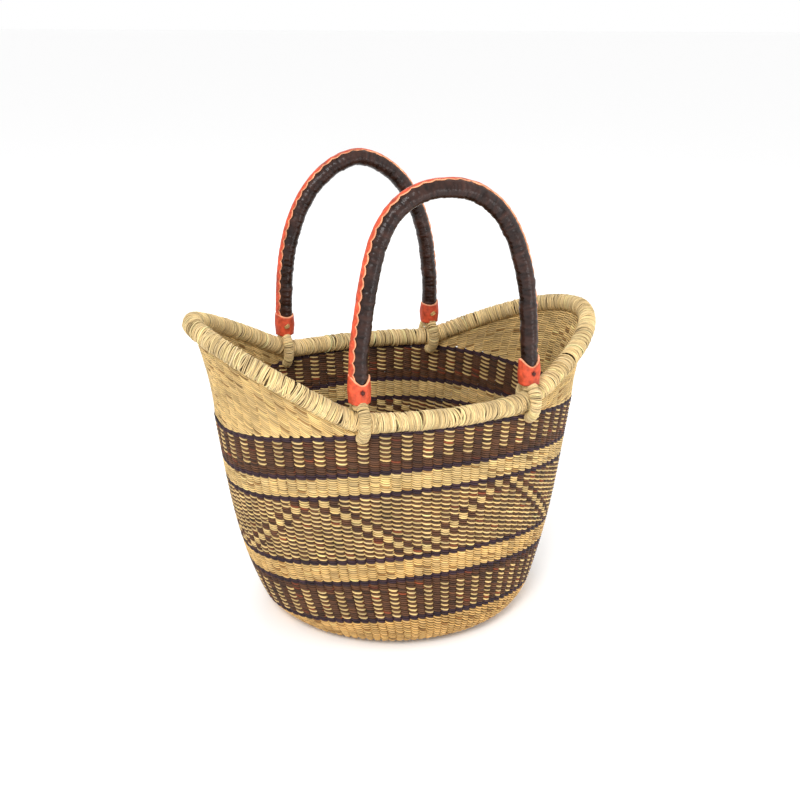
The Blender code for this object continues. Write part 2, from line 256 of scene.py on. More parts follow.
def finish_piece(obj, material, slot, body, *nodes):
    obj.data.materials.append(material)
    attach(obj, body)
    if nodes:
        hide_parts(*nodes)
    return obj


# Twining --------------------------------------------------------------------------------------------------

# A float is one strand's pass over one stake. Its rings, from the crossing before the stake: where they are
# along the cell, how far they stand off, how the line falls from upper left to lower right, and how full
# it is.
STEPS = np.array((-0.5, -0.36, -0.15, 0.15, 0.36))
STAND_OFF = np.array((-0.25, 0.62, 1.0, 1.0, 0.82))
FALL_OUTSIDE = np.array((1.0, 0.62, -0.05, -0.62, -0.9))
FALL_INSIDE = np.array((-1.0, -0.9, -0.62, -0.05, 0.62))
FULLNESS = np.array((0.86, 0.92, 1.0, 1.0, 0.94))

# A strand's stand-off and half thickness in metres, its half height and its fall in rows, and the sides of
# its tube. The edge shade is painted shade on its upper and lower edges, where neighbouring rows touch.
STRAND_REACH = 0.00175
STRAND_THICKNESS = 0.00112
STRAND_HEIGHT = 0.50
FALL_ROWS = 0.40
SIDES = 6
EDGE_PAINTED_SHADE = 0.66

# The share of floats that are dark or reddish, and how much colours vary from float to float.
FLECKS = 0.06
RED_FLECKS = 0.05
NATURAL_SPREAD = 0.13
DYED_SPREAD = 0.28
PURPLE_SPREAD = 0.22
WINDING_SPREAD = 0.15


def tinted(colour, shape, spread=NATURAL_SPREAD):
    """A colour varied from float to float in lightness and a little in hue."""
    light = 1 + spread * rng.normal(size=shape + (1,))
    hue = 1 + spread * rng.normal(size=shape + (1,)) * np.array((0.10, 0.0, -0.30))
    return np.clip(np.asarray(colour) * np.clip(light, 0.45, 1.5) * hue, 0.004, 0.95)


def strand_rings(surface, rows, cells, relief=1.0):
    """Rings of both strands of rows twined on a surface of (row, cell): (rows, 2, cells, 5, sides, 3)."""
    step = 1e-3  # of a cell, for the direction along the row
    shape = (len(rows), 2, len(cells), len(STEPS))
    outside = (cells[None, :] + np.arange(2)[:, None]) % 2 == 0
    outside = outside[None, :, :, None]
    stand = relief * STRAND_REACH * STAND_OFF * np.where(outside, 1, -1)
    fall = relief * FALL_ROWS * np.where(outside, FALL_OUTSIDE, FALL_INSIDE)
    full = FULLNESS * (1 + 0.07 * rng.normal(size=shape[:3] + (1,)))
    sway = 0.05 * rng.normal(size=shape[:3] + (1,)) * (STAND_OFF > 0)
    row = rows[:, None, None, None] + 0.5 + fall + sway
    cell = np.broadcast_to(cells[:, None] + STEPS, shape)
    row = np.broadcast_to(row, shape)
    middle = surface(row, cell)
    up = unit(surface(row + 1.0, cell) - surface(row - 1.0, cell))
    along = surface(row, cell + step) - surface(row, cell - step)
    out = unit(np.cross(along, up))
    turn = 2 * math.pi * np.arange(SIDES) / SIDES
    middle = middle + out * stand[..., None]
    thick = (STRAND_THICKNESS * full)[..., None, None] * np.cos(turn)[:, None]
    tall = (STRAND_HEIGHT * ROW * full)[..., None, None] * np.sin(turn)[:, None]
    return middle[..., None, :] + out[..., None, :] * thick + up[..., None, :] * tall


def twine(name, surface, rows, cell_count, colours, material, slot, *nodes):
    """One piece of closed twined rows. colours is (rows, 2, cells, 3): for each strand, at each cell."""
    cells = np.arange(cell_count)
    rings = strand_rings(surface, rows, cells)
    tubes = len(rows) * 2
    count = cell_count * len(STEPS)
    shades = np.repeat(colours.reshape(tubes, cell_count, 3), len(STEPS), axis=1)[:, :, None, :]
    along = np.broadcast_to(np.arange(count) * (0.95 / count), (tubes, count))
    obj = joined(name, [tube_batch(rings.reshape(tubes, count, SIDES, 3), True, shades, along)])
    return finish_piece(obj, material, slot, "basket", *nodes)


def wall_surface(row, cell):
    """The wall, with its rows counted up from the base edge."""
    return wall_middle(BASE_EDGE + row * ROW, angle_of(cell))


def strand_colours(rows, cell_count, front_is_natural, back_is_natural=None):
    """Straw colours for both strands, from tables of (rows, cells) that tell where each face is natural."""
    if back_is_natural is None:
        back_is_natural = front_is_natural
    cells = np.arange(cell_count)
    outside = (cells[None, :] + np.arange(2)[:, None]) % 2 == 0
    natural = np.where(outside[None], front_is_natural[:, None, :], back_is_natural[:, None, :])
    light = tinted(NATURAL, natural.shape)
    dark = tinted(BROWN, natural.shape, DYED_SPREAD)
    red = rng.random(natural.shape) < RED_FLECKS
    dark = np.where(red[..., None], dark * np.array(RED_DYE), dark)
    return np.where(natural[..., None], light, dark)


def natural_rows(count, cells=CELLS, warmth=(1, 1, 1)):
    """Natural straw, with a darker float here and there."""
    light = tinted(NATURAL, (count, 2, cells)) * np.array(warmth)
    fleck = rng.random(light.shape[:3] + (1,)) < FLECKS
    return np.where(fleck, light * np.array(DARK_FLECK), light)


def purple_rows(count):
    """Purple-black straw."""
    return tinted(PURPLE, (count, 2, CELLS), PURPLE_SPREAD)


def ladder_rows(count, natural):
    """Brown rows with natural floats at every other cell of the listed rows."""
    front = np.zeros((count, CELLS), bool)
    back = np.zeros((count, CELLS), bool)
    for row in natural:
        front[row, 1::2] = True
        back[row, 0::2] = True
    return strand_colours(count, CELLS, front, back)


def zigzag_rows(count):
    """A chequer of natural and brown, crossed by a zigzag where three rows keep their colours."""
    rows, cells = np.mgrid[0:count, 0:CELLS]
    chequer = (rows + cells) % 2 == 0
    half = ZIGZAG_CELLS // 2
    away = np.abs((cells - ZIGZAG_VALLEY + half) % ZIGZAG_CELLS - half)
    level, place = np.divmod(rows - 1, ZIGZAG_STEP)
    leg = np.abs(away - 1 - level) <= 1
    middle_row = (place == 1) & leg
    valley = (away == 0) & (rows == 0)
    front = np.where(middle_row, ~chequer, chequer) | valley
    return strand_colours(count, CELLS, front, ~front)


# Materials ------------------------------------------------------------------------------------------------


STRAW_ROUGHNESS = 0.62
STRAW_SPECULAR = 0.35
LEATHER_SPECULAR = 0.27
CORE_ROUGHNESS = 0.8


def shader_of(name):
    """A new material with its nodes, its links and its shader."""
    made = bpy.data.materials.new(name)
    made.use_nodes = True
    return made, made.node_tree.nodes, made.node_tree.links, made.node_tree.nodes["Principled BSDF"]


def add_node(nodes, kind, operation=None, **values):
    """A new node with its operation and input values. An underscore stands for a space."""
    made = nodes.new("ShaderNode" + kind)
    if operation:
        made.operation = operation
    for key, value in values.items():
        made.inputs[key.replace("_", " ")].default_value = value
    return made


def add_attributes(nodes):
    """The mesh's colour, which carries its painted shade and painted light, and its fibre coordinates."""
    colour_with_painted_shade, grain = nodes.new("ShaderNodeAttribute"), nodes.new("ShaderNodeAttribute")
    colour_with_painted_shade.attribute_name = "colour_with_painted_shade"
    grain.attribute_name = "grain"
    return colour_with_painted_shade, grain


def straw_material(name):
    """Split straw: fibres along the strand, uneven colour, and a dry sheen."""
    made, nodes, links, shader = shader_of(name)
    colour_with_painted_shade, grain = add_attributes(nodes)
    stretch = add_node(nodes, "VectorMath", "MULTIPLY")
    stretch.inputs[1].default_value = (90, 1500, 1500)
    fibre = add_node(nodes, "TexNoise", Scale=1.0, Detail=3.0)
    place = add_node(nodes, "TexCoord")
    patch = add_node(nodes, "TexNoise", Scale=38.0, Detail=4.0)
    shade = add_node(nodes, "MapRange", From_Min=0.3, From_Max=0.7, To_Min=0.62, To_Max=1.25)
    patchy = add_node(nodes, "MapRange", From_Min=0.35, From_Max=0.65, To_Min=0.82, To_Max=1.12)
    both = add_node(nodes, "Math", "MULTIPLY")
    colour = add_node(nodes, "VectorMath", "SCALE")
    bump = add_node(nodes, "Bump", Strength=0.55, Distance=0.0004)
    links.new(grain.outputs["Vector"], stretch.inputs[0])
    links.new(stretch.outputs["Vector"], fibre.inputs["Vector"])
    links.new(place.outputs["Object"], patch.inputs["Vector"])
    links.new(fibre.outputs["Fac"], shade.inputs["Value"])
    links.new(patch.outputs["Fac"], patchy.inputs["Value"])
    links.new(shade.outputs["Result"], both.inputs[0])
    links.new(patchy.outputs["Result"], both.inputs[1])
    links.new(colour_with_painted_shade.outputs["Color"], colour.inputs[0])
    links.new(both.outputs["Value"], colour.inputs["Scale"])
    links.new(colour.outputs["Vector"], shader.inputs["Base Color"])
    links.new(fibre.outputs["Fac"], bump.inputs["Height"])
    links.new(bump.outputs["Normal"], shader.inputs["Normal"])
    shader.inputs["Roughness"].default_value = STRAW_ROUGHNESS
    shader.inputs["Specular IOR Level"].default_value = STRAW_SPECULAR
    return made


def leather_material(name, roughness, scale):
    """Thin leather: a fine pebbled grain, crossing wrinkles with painted shade in their hollows and painted
    light on their ridges, and uneven polish.
    """
    made, nodes, links, shader = shader_of(name)
    colour_with_painted_shade, grain = add_attributes(nodes)
    pebble = add_node(nodes, "TexVoronoi", Scale=scale)
    wrinkle = add_node(nodes, "TexNoise", Scale=scale * 0.28, Detail=5.0)
    height = add_node(nodes, "Math", "ADD")
    # Painted light and shade: the colour follows the wrinkles' height, darker in their hollows and lighter
    # on their ridges.
    shade = add_node(nodes, "MapRange", From_Min=0.3, From_Max=0.7, To_Min=0.68, To_Max=1.35)
    colour = add_node(nodes, "VectorMath", "SCALE")
    polish = add_node(nodes, "MapRange", To_Min=roughness - 0.1, To_Max=roughness + 0.16)
    bump = add_node(nodes, "Bump", Strength=0.6, Distance=0.0003)
    links.new(grain.outputs["Vector"], pebble.inputs["Vector"])
    links.new(grain.outputs["Vector"], wrinkle.inputs["Vector"])
    links.new(pebble.outputs["Distance"], height.inputs[0])
    links.new(wrinkle.outputs["Fac"], height.inputs[1])
    links.new(height.outputs["Value"], bump.inputs["Height"])
    links.new(wrinkle.outputs["Fac"], shade.inputs["Value"])
    links.new(wrinkle.outputs["Fac"], polish.inputs["Value"])
    links.new(colour_with_painted_shade.outputs["Color"], colour.inputs[0])
    links.new(shade.outputs["Result"], colour.inputs["Scale"])
    links.new(colour.outputs["Vector"], shader.inputs["Base Color"])
    links.new(polish.outputs["Result"], shader.inputs["Roughness"])
    links.new(bump.outputs["Normal"], shader.inputs["Normal"])
    shader.inputs["Specular IOR Level"].default_value = LEATHER_SPECULAR
    return made


# The basket's wall and base -------------------------------------------------------------------------------

# Bands from the base edge up: the CAD node, its rows, its colours and its material slot.
BANDS = (
    ("purple_rows_1", 2, purple_rows, "purple_straw"),
    ("lower_dark_band", 16, lambda n: ladder_rows(n, range(0, 13, 2)), "brown_straw"),
    ("purple_rows_2", 2, purple_rows, "purple_straw"),
    ("lower_natural_band", 8, lambda n: natural_rows(n, warmth=WARM), "natural_straw"),
    ("purple_rows_3", 2, purple_rows, "purple_straw"),
    ("zigzag_band", 28, zigzag_rows, "mixed_straw"),
    ("purple_rows_4", 2, purple_rows, "purple_straw"),
    ("upper_natural_band", 8, natural_rows, "natural_straw"),
    ("purple_rows_5", 2, purple_rows, "purple_straw"),
    ("upper_dark_band", 17, lambda n: ladder_rows(n, range(4, 15, 2)), "brown_straw"),
)
BAND_ROWS = sum(band[1] for band in BANDS)
BANDS_TOP = BASE_EDGE + ROW * BAND_ROWS
TOP_PURPLE_ROWS = 2
MOST_ROWS = 14


def make_bands(straw):
    """The bands of the wall, in pieces of at most MOST_ROWS rows. The topmost rows are purple."""
    start = 0
    for node, count, colouring, slot in BANDS:
        colours = colouring(count)
        if start + count == BAND_ROWS:
            colours[-TOP_PURPLE_ROWS:] = purple_rows(TOP_PURPLE_ROWS)
        pieces = math.ceil(count / MOST_ROWS)
        edges = [round(count * k / pieces) for k in range(pieces + 1)]
        for k, (low, high) in enumerate(zip(edges, edges[1:])):
            rows = np.arange(start + low, start + high, dtype=float)
            name = node + "_weave" + (f"_{k + 1}" if pieces > 1 else "")
            twine(name, wall_surface, rows, CELLS, colours[low:high], straw, slot, node)
        start += count


EDGE_ROWS = 20
EDGE_PIECES = ((0, 10), (10, EDGE_ROWS))


def edge_share():
    """The share of the base edge's turn at evenly spaced rows, measured on the basket's side."""
    share = np.linspace(0, 1, 401)
    run = wall_middle(BASE_EDGE * share**2, np.full(401, math.pi / 2))
    run = np.concatenate(([0], np.cumsum(np.linalg.norm(np.diff(run, axis=0), axis=1))))
    return run / run[-1] * EDGE_ROWS, share


EDGE_RUN, EDGE_SHARE = edge_share()


def edge_surface(row, cell):
    """The turned-up edge of the base, with its rows counted outwards from the disc."""
    share = np.interp(row, EDGE_RUN, EDGE_SHARE)
    return wall_middle(BASE_EDGE * share**2, angle_of(cell))


# The base disc: its rows, and its zones as first row, row after the last, and cells round.
DISC_ROWS = 43
DISC_ZONES = ((0, 3, 8), (3, 12, 20), (12, 26, 50), (26, 34, 100), (34, 43, 100))


def disc_surface(cell_count):
    """The surface of the flat disc, for a zone with its own count of cells."""

    def surface(row, cell):
        angle = angle_of(cell * CELLS / cell_count)
        share = row / DISC_ROWS
        x = BASE_HALF_SIZES[0] * share * np.cos(angle)
        y = BASE_HALF_SIZES[1] * share * np.sin(angle)
        return np.stack((x, y, np.full(x.shape, WALL_THICKNESS / 2)), -1)

    return surface


def make_base(straw):
    """The turned-up edge, and the flat disc, whose stakes branch as it grows."""
    for k, (low, high) in enumerate(EDGE_PIECES):
        rows = np.arange(low, high, dtype=float)
        colours = natural_rows(high - low, warmth=WARMEST)
        name = f"base_edge_weave_{k + 1}"
        twine(name, edge_surface, rows, CELLS, colours, straw, "natural_straw", "base_edge_band")
    for k, (low, high, cells) in enumerate(DISC_ZONES):
        rows = np.arange(low, high, dtype=float)
        colours = natural_rows(high - low, cells, WARMEST)
        name = f"base_disc_weave_{k + 1}"
        twine(name, disc_surface(cells), rows, cells, colours, straw, "natural_straw", "base_disc")


# The raised ends, the stakes and the rim ------------------------------------------------------------------

# The wings' rows are twined flatter than the bands'. They are counted from WING_HANG below the rim's middle
# line, and the lowest stop LAST_GAP short of the bands. STRAND_RUN is a strand's length from ring to ring.
WING_ROWS = 40
WING_RELIEF = 0.6
WING_HANG = 0.75 * RIM_RADIUS
LAST_GAP = 0.05 * ROW
STRAND_RUN = 0.0019


def wing_height(angle):
    """The distance from the top of the bands to the rim's middle line."""
    return np.linalg.norm(rim_point(angle) - wing_middle(angle, np.zeros_like(angle), BANDS_TOP), axis=-1)


def wing_surface(row, cell):
    """Rows that follow the rim, counted down from it as negative numbers and pressed together below."""
    angle = angle_of(cell)
    height = wing_height(angle)
    below = WING_HANG - row * ROW
    lowest = height - LAST_GAP
    below = np.where(below > lowest, lowest + 0.01 * (below - lowest), below)
    return wing_middle(angle, 1 - below / height, BANDS_TOP)


def make_wings(straw):
    """The raised ends: open rows under the rim, each as long as there is room for it above the bands."""
    for node, tip in (("left_wing", CELLS // 2), ("right_wing", 0)):
        batches = []
        for row in range(-1, -WING_ROWS, -1):
            cells = np.arange(tip - CELLS // 4 + 2, tip + CELLS // 4 - 1)
            height = wing_height(angle_of(cells))
            cells = cells[height > WING_HANG - (row + 1.6) * ROW]
            if len(cells) < 2:
                continue
            rings = strand_rings(wing_surface, np.array([float(row)]), cells, WING_RELIEF)
            count = len(cells) * len(STEPS)
            shades = natural_rows(1, len(cells)).reshape(2, -1, 3)
            shades = np.repeat(shades, len(STEPS), axis=1)[:, :, None, :]
            along = np.broadcast_to(np.arange(count) * STRAND_RUN, (2, count))
            batches.append(tube_batch(rings.reshape(2, count, SIDES, 3), False, shades, along))
        finish_piece(joined(node + "_weave", batches), straw, "natural_straw", "basket", node)


# Stakes: half thickness, half widths at heights, and the painted shade that darkens them beside the twined
# straw.
STAKE_THICKNESS = 0.0008
STAKE_HEIGHTS = (0, 0.03, 0.2, 0.3)
STAKE_WIDTHS = (0.0016, 0.0032, 0.0040, 0.0048)
STAKE_PAINTED_SHADE = 0.55
SIDEWAYS_LEVEL = 0.15  # where a stake's sideways direction is taken


def make_stakes(straw):
    """The upright stakes, from under the base edge to the rim."""
    angle = angle_of(np.arange(CELLS))[:, None]
    edge = BASE_EDGE * np.linspace(0.05, 1, 8) ** 2
    level = np.concatenate((edge, np.linspace(BASE_EDGE, BANDS_TOP, 12)[1:]))
    share = np.linspace(0, 1, 6)[1:]
    wall = wall_middle(np.broadcast_to(level, (CELLS, len(level))), angle)
    ends = wing_middle(angle, share, BANDS_TOP)
    path = np.concatenate((wall, ends), axis=1)
    along = unit(np.gradient(path, axis=1))
    side_level = np.full((CELLS, 1), SIDEWAYS_LEVEL)
    sideways = unit(wall_middle(side_level, angle + 0.01) - wall_middle(side_level, angle - 0.01))
    sideways = np.broadcast_to(sideways, path.shape)
    out = unit(np.cross(sideways, along))
    turn = 2 * math.pi * np.arange(SIDES) / SIDES
    wide = np.interp(path[..., 2], STAKE_HEIGHTS, STAKE_WIDTHS)[..., None, None]
    rings = path[:, :, None] + STAKE_THICKNESS * out[:, :, None] * np.cos(turn)[:, None]
    rings = rings + wide * sideways[:, :, None] * np.sin(turn)[:, None]
    # Painted shade: the stakes are natural straw darkened where they show in the gaps of the weave.
    colours = tinted(NATURAL, (CELLS, 1, 1)) * STAKE_PAINTED_SHADE
    run = np.broadcast_to(np.linspace(0, 0.3, path.shape[1]), path.shape[:2])
    obj = joined("stakes", [tube_batch(rings, False, colours, run)])
    finish_piece(obj, straw, "natural_straw", "basket")


# Windings: the wraps that lie alike in one bundle, and each kind's pitch, tilt (its lean as a share of the
# radius), half width and half thickness.
BUNDLE = 9
RIM_LAYER = {"pitch": 0.00135, "tilt": 0.22, "width": 0.00085, "thickness": 0.0006}
RIM_BINDERS = {"pitch": 0.0058, "tilt": 0.42, "width": 0.0009, "thickness": 0.0005}
LOOP_LAYER = {"pitch": 0.0011, "tilt": 0.15, "width": 0.0008, "thickness": 0.0006}


def wound(path, up, radius, closed, pitch, tilt, width, thickness):
    """Straw wound side by side round a path. radius is to the strands' middle."""
    ends = np.concatenate((path, path[:1])) if closed else path
    run = np.concatenate(([0], np.cumsum(np.linalg.norm(np.diff(ends, axis=0), axis=1))))
    wraps = round(run[-1] / pitch)
    around = 2 * math.pi * np.arange(16) / 16
    bundle = np.arange(wraps) // BUNDLE
    place = (np.arange(wraps) + 0.5) / wraps * run[-1] + 0.15 * pitch * rng.normal(size=wraps)
    swing = rng.normal(size=wraps // BUNDLE + 1)[bundle][:, None]
    lean = tilt * radius * (1 + 0.4 * swing + 0.15 * rng.normal(size=(wraps, 1)))
    turned = around + 0.5 * rng.normal(size=wraps // BUNDLE + 1)[bundle][:, None]
    place = place[:, None] + lean * np.cos(turned)
    if closed:
        place = place % run[-1]

    def at(where):
        where = where % run[-1] if closed else np.clip(where, 0, run[-1])
        return np.stack([np.interp(where, run, ends[:, k]) for k in range(3)], -1)

    centre = at(place)
    along = unit(at(place + 0.0015) - at(place - 0.0015))
    across = unit(np.cross(along, up))
    normal = np.cross(across, along)
    out = across * np.cos(around)[:, None] + normal * np.sin(around)[:, None]
    raised = 0.00025 * rng.normal(size=wraps // BUNDLE + 1)[bundle][:, None, None]
    lift = 0.00014 * rng.normal(size=(wraps, 1, 1)) + raised
    wave = 0.00012 * rng.normal(size=(wraps, len(around), 1))
    centre = centre + out * (radius + lift + wave)
    turn = 2 * math.pi * np.arange(SIDES) / SIDES
    wide = width * (1 + 0.22 * rng.normal(size=(wraps, 1, 1, 1)))
    rings = centre[:, :, None] + out[:, :, None] * (thickness * np.cos(turn)[:, None])
    rings = rings + along[:, :, None] * wide * np.sin(turn)[:, None]
    colours = tinted(RIM_STRAW, (wraps, 1, 1), WINDING_SPREAD)
    length = np.broadcast_to(around * radius, (wraps, len(around)))
    return tube_batch(rings, True, colours, length)


def make_rim(straw):
    """The rim's winding: a full layer of straw, and wider-spaced binders that cross over it."""
    path = rim_point(np.linspace(0, 2 * math.pi, 1601)[:-1])
    inner = wound(path, (0, 0, 1), RIM_RADIUS - 0.0010, True, **RIM_LAYER)
    outer = wound(path, (0, 0, 1), RIM_RADIUS - 0.0006, True, **RIM_BINDERS)
    obj = joined("rim_winding", [inner, outer])
    finish_piece(obj, straw, "natural_straw", "basket", "rim_wrap")


# The handles ----------------------------------------------------------------------------------------------


def rim_front_angle(x):
    """The angle of the rim's front point at x."""
    return -math.acos(math.copysign((abs(x) / RIM_HALF_LENGTH) ** (RIM_POWER / 2), x))


def hinge_point(shape):
    """The middle of the line through a handle's two loops, on the rim's middle line."""
    feet = [rim_point(rim_front_angle(shape["shift"] + leg * HANDLE_HALF_WIDTH)) for leg in (-1, 1)]
    _, y, z = (feet[0] + feet[1]) / 2
    return np.array((shape["shift"], -shape["side"] * y, z))


def in_place(points, shape):
    """Points of a handle's own frame, as they stand on the basket."""
    turn = shape["side"] * math.radians(shape["lean"])
    x, y, z = points[..., 0], points[..., 1], points[..., 2]
    y, z = y * math.cos(turn) - z * math.sin(turn), y * math.sin(turn) + z * math.cos(turn)
    return np.stack((x, y, z), -1) + hinge_point(shape)


def arch(shape, z_start, count):
    """Even points up the left leg and down the right, their outward directions, and the run to each."""
    u = np.linspace(math.pi, 0, 2001)
    x = HANDLE_HALF_WIDTH * np.sign(np.cos(u)) * np.abs(np.cos(u)) ** (2 / shape["side_power"])
    z = HANDLE_HEIGHT * np.abs(np.sin(u)) ** (2 / shape["top_power"])
    rise = np.clip((z - STRAIGHT_HEIGHT) / (HANDLE_HEIGHT - STRAIGHT_HEIGHT), 0, 1)
    x = x + np.where(x < 0, shape["bow"], 0) * 16 * (rise * (1 - rise)) ** 2
    x, z = x[z >= z_start], z[z >= z_start]
    run = np.concatenate(([0], np.cumsum(np.hypot(np.diff(x), np.diff(z)))))
    even = np.linspace(0, run[-1], count)
    x, z = np.interp(even, run, x), np.interp(even, run, z)
    dx, dz = np.gradient(x), np.gradient(z)
    size = np.hypot(dx, dz)
    points = np.stack((x, np.zeros(count), z), -1)
    return points, np.stack((-dz / size, np.zeros(count), dx / size), -1), even


def smooth_noise(shape, blur):
    """Random numbers blurred over a grid whose second direction runs round."""
    rows = np.fft.fftfreq(shape[0])[:, None]
    columns = np.fft.fftfreq(shape[1])[None, :]
    keep = np.exp(-2 * math.pi**2 * ((rows * blur[0]) ** 2 + (columns * blur[1]) ** 2))
    noise = np.fft.ifft2(np.fft.fft2(rng.normal(size=shape)) * keep).real
    return noise / noise.std()


def corner_name(name, leg):
    """The first part of the names of the nodes at one end of a handle."""
    return name + ("_left" if leg < 0 else "_right")


def solid_grid(name, rings, colours, closed, shape):
    """A leather piece from one tube of rings, with its grain in its own frame."""
    count, sides = rings.shape[:2]
    points = in_place(rings, shape).reshape(-1, 3)
    shades = np.broadcast_to(colours, rings.shape).reshape(-1, 3)
    return mesh_object(name, points, tube_faces(1, count, sides, closed), shades, rings.reshape(-1, 3))


# Leather skin: how deep its fine creases and its broad waves are, and how strongly painted light and shade
# lighten their ridges and darken their hollows.
CREASE_DEPTH = 0.00017
WAVE_DEPTH = 0.00022
CREASE_PAINTED_SHADE = 0.28
WAVE_PAINTED_SHADE = 0.18


def make_sleeve(name, shape, leather):
    """A leather skin drawn tight round the arch, with fine creases in it, painted lighter on their ridges
    and darker in their hollows.
    """
    count, sides = 520, 32
    middle, out, _ = arch(shape, COLLAR_START + COLLAR_HEIGHT - 0.008, count)
    fine = smooth_noise((count, sides), (1.1, 1.7))
    broad = smooth_noise((count, sides), (5.0, 4.0))
    turn = 2 * math.pi * np.arange(sides) / sides
    radius = SLEEVE_RADIUS - 0.0002 + CREASE_DEPTH * fine + WAVE_DEPTH * broad
    rings = middle[:, None] + out[:, None] * (radius * np.cos(turn))[..., None]
    rings[..., 1] -= radius * np.sin(turn)
    # Painted light and shade: the colour follows the creases' depth, lighter where the skin stands out and
    # darker in the hollows.
    light = np.clip(1 + CREASE_PAINTED_SHADE * fine + WAVE_PAINTED_SHADE * broad, 0.45, 2.2)[..., None]
    obj = solid_grid(name + "_handle_leather", rings, np.array(BROWN_LEATHER) * light, False, shape)
    finish_piece(obj, leather, "brown_leather", name + "_handle", name + "_handle_sleeve")


# Lace: its twist round the leather and its half width in degrees at the left foot, top and right foot, the
# depth of its scallops in degrees, their length, and the rows of points across its outer face.
LACE_TWIST = (14, -4, -22)
LACE_HALF_WIDTH = (30, 26, 18)
SCALLOP_DEPTH = (15, 6)
SCALLOP_LENGTH = 0.0105
LACE_ROWS = 11


def make_lace(name, shape, leather):
    """The flat strip that closes the leather, with a scalloped and lightly cut edge."""
    count = 640
    middle, out, run = arch(shape, COLLAR_START + COLLAR_HEIGHT - 0.006, count)
    share = run / run[-1]
    twist = np.radians(np.interp(share, (0, 0.5, 1), LACE_TWIST))
    scallop = np.abs(np.sin(math.pi * run / SCALLOP_LENGTH)) ** 0.8
    half = np.radians(np.interp(share, (0, 0.5, 1), LACE_HALF_WIDTH))
    front = twist + half + np.radians(SCALLOP_DEPTH[0]) * (scallop - 0.7)
    back = twist - half - np.radians(SCALLOP_DEPTH[1]) * (scallop - 0.6)
    across = np.linspace(0, 1, LACE_ROWS)
    angle = back[:, None] + (front - back)[:, None] * across
    dome = 0.0009 + 0.0004 * np.sin(math.pi * across) + 0.00012 * smooth_noise((count, LACE_ROWS), (3, 1))
    outer = SLEEVE_RADIUS + dome
    inner = np.full_like(outer, SLEEVE_RADIUS - 0.0009)
    radius = np.concatenate((outer, inner[:, ::-1]), axis=1)
    angle = np.concatenate((angle, angle[:, ::-1]), axis=1)
    rings = middle[:, None] + out[:, None] * (radius * np.cos(angle))[..., None]
    rings[..., 1] -= radius * np.sin(angle)
    colours = np.tile(np.array(RED_LEATHER), (2 * LACE_ROWS, 1))
    colours[[0, LACE_ROWS - 1, LACE_ROWS, -1]] = CUT_EDGE
    shade = 1 + 0.12 * smooth_noise((count, 2 * LACE_ROWS), (4, 2))[..., None]
    obj = solid_grid(name + "_handle_lacing", rings, colours * shade, False, shape)
    finish_piece(obj, leather, "red_leather", name + "_handle", name + "_handle_lace")


def collar_centre(shape, z):
    """The middle of a left leg at heights in the handle's frame."""
    points = arch(shape, 0.0, 4001)[0][:1600]
    return np.interp(z, points[:, 2], points[:, 0])


# Collars: how deep the upper edge dips at the front and back, how strongly the stitch pinches the leather,
# and how strongly painted shade darkens the pinched hollow.
COLLARS = {
    "front": {"dip": 0.0040, "pinch": 1.0, "dark": 0.7},
    "back": {"dip": 0.0012, "pinch": 0.0, "dark": 0.0},
}


def make_collar(name, leg, shape, leather):
    """A leather band sewn round the end of a leg, with its upper edge cut in a curve."""
    around, rows, lining_rows = 72, 14, 6
    angle = 2 * math.pi * np.arange(around) / around
    dip = COLLARS[name]["dip"]
    bottom = COLLAR_START - 0.0006 * np.cos(3 * angle + leg)
    top = COLLAR_START + COLLAR_HEIGHT - 0.0005 + dip * np.cos(2 * angle) + 0.0010 * np.cos(angle) * leg
    share = np.concatenate((np.linspace(0, 1, rows), np.linspace(1, 0, lining_rows)))
    z = bottom[:, None] + (top - bottom)[:, None] * share
    outer = np.interp(share[:rows], (0, 0.5, 1), COLLAR_RADII)
    lining = np.full(lining_rows, SLEEVE_RADIUS - 0.0004)
    radius = np.tile(np.concatenate((outer, lining)), (around, 1))
    radius[:, :rows] += 0.00018 * smooth_noise((around, rows), (2, 2))
    front = (angle[:, None] + math.pi / 2 + math.pi) % (2 * math.pi) - math.pi
    rise = (z - COLLAR_START - 0.5 * COLLAR_HEIGHT) / 0.010
    away = np.hypot(front, rise)
    rays = np.cos(5 * np.arctan2(rise, front))
    pinch = np.exp(-((away / 0.28) ** 2)) * 0.0013 + np.exp(-((away / 0.7) ** 2)) * 0.00035 * rays
    radius[:, :rows] -= COLLARS[name]["pinch"] * pinch[:, :rows]
    x = leg * -collar_centre(shape, z)
    rings = np.stack((x + radius * np.cos(angle)[:, None], radius * np.sin(angle)[:, None], z), -1)
    colours = np.tile(np.array(RED_LEATHER), (around, rows + lining_rows, 1))
    colours[:, rows - 1 : rows + 1] = CUT_EDGE
    colours = colours * (1 + 0.10 * smooth_noise((around, rows + lining_rows), (3, 2)))[..., None]
    # Painted shade: the leather is darkened in the hollow that the stitch pinches in.
    colours = colours * (1 - COLLARS[name]["dark"] * np.exp(-((away / 0.22) ** 2)))[..., None]
    prefix = corner_name(name, leg)
    obj = solid_grid(prefix + "_collar_leather", rings[::-1], colours[::-1], True, shape)
    finish_piece(obj, leather, "red_leather", name + "_handle", prefix + "_collar")


# Stitches: a thread's half length, how far it stands off the collar, the slants of its three turns, the gap
# between them and its colour. The front ones cross in a pinched knot, and the back ones lie side by side.
STITCHES = {
    "front": {
        "reach": 0.0026, "standoff": -0.0009, "slants": (0.3, 1.6, 2.6), "gap": 0.0, "colour": DARK_THREAD,
    },
    "back": {
        "reach": 0.0034, "standoff": 0.0002, "slants": (0.45, 0.55, 0.65), "gap": 0.0013, "colour": RAFFIA,
    },
}


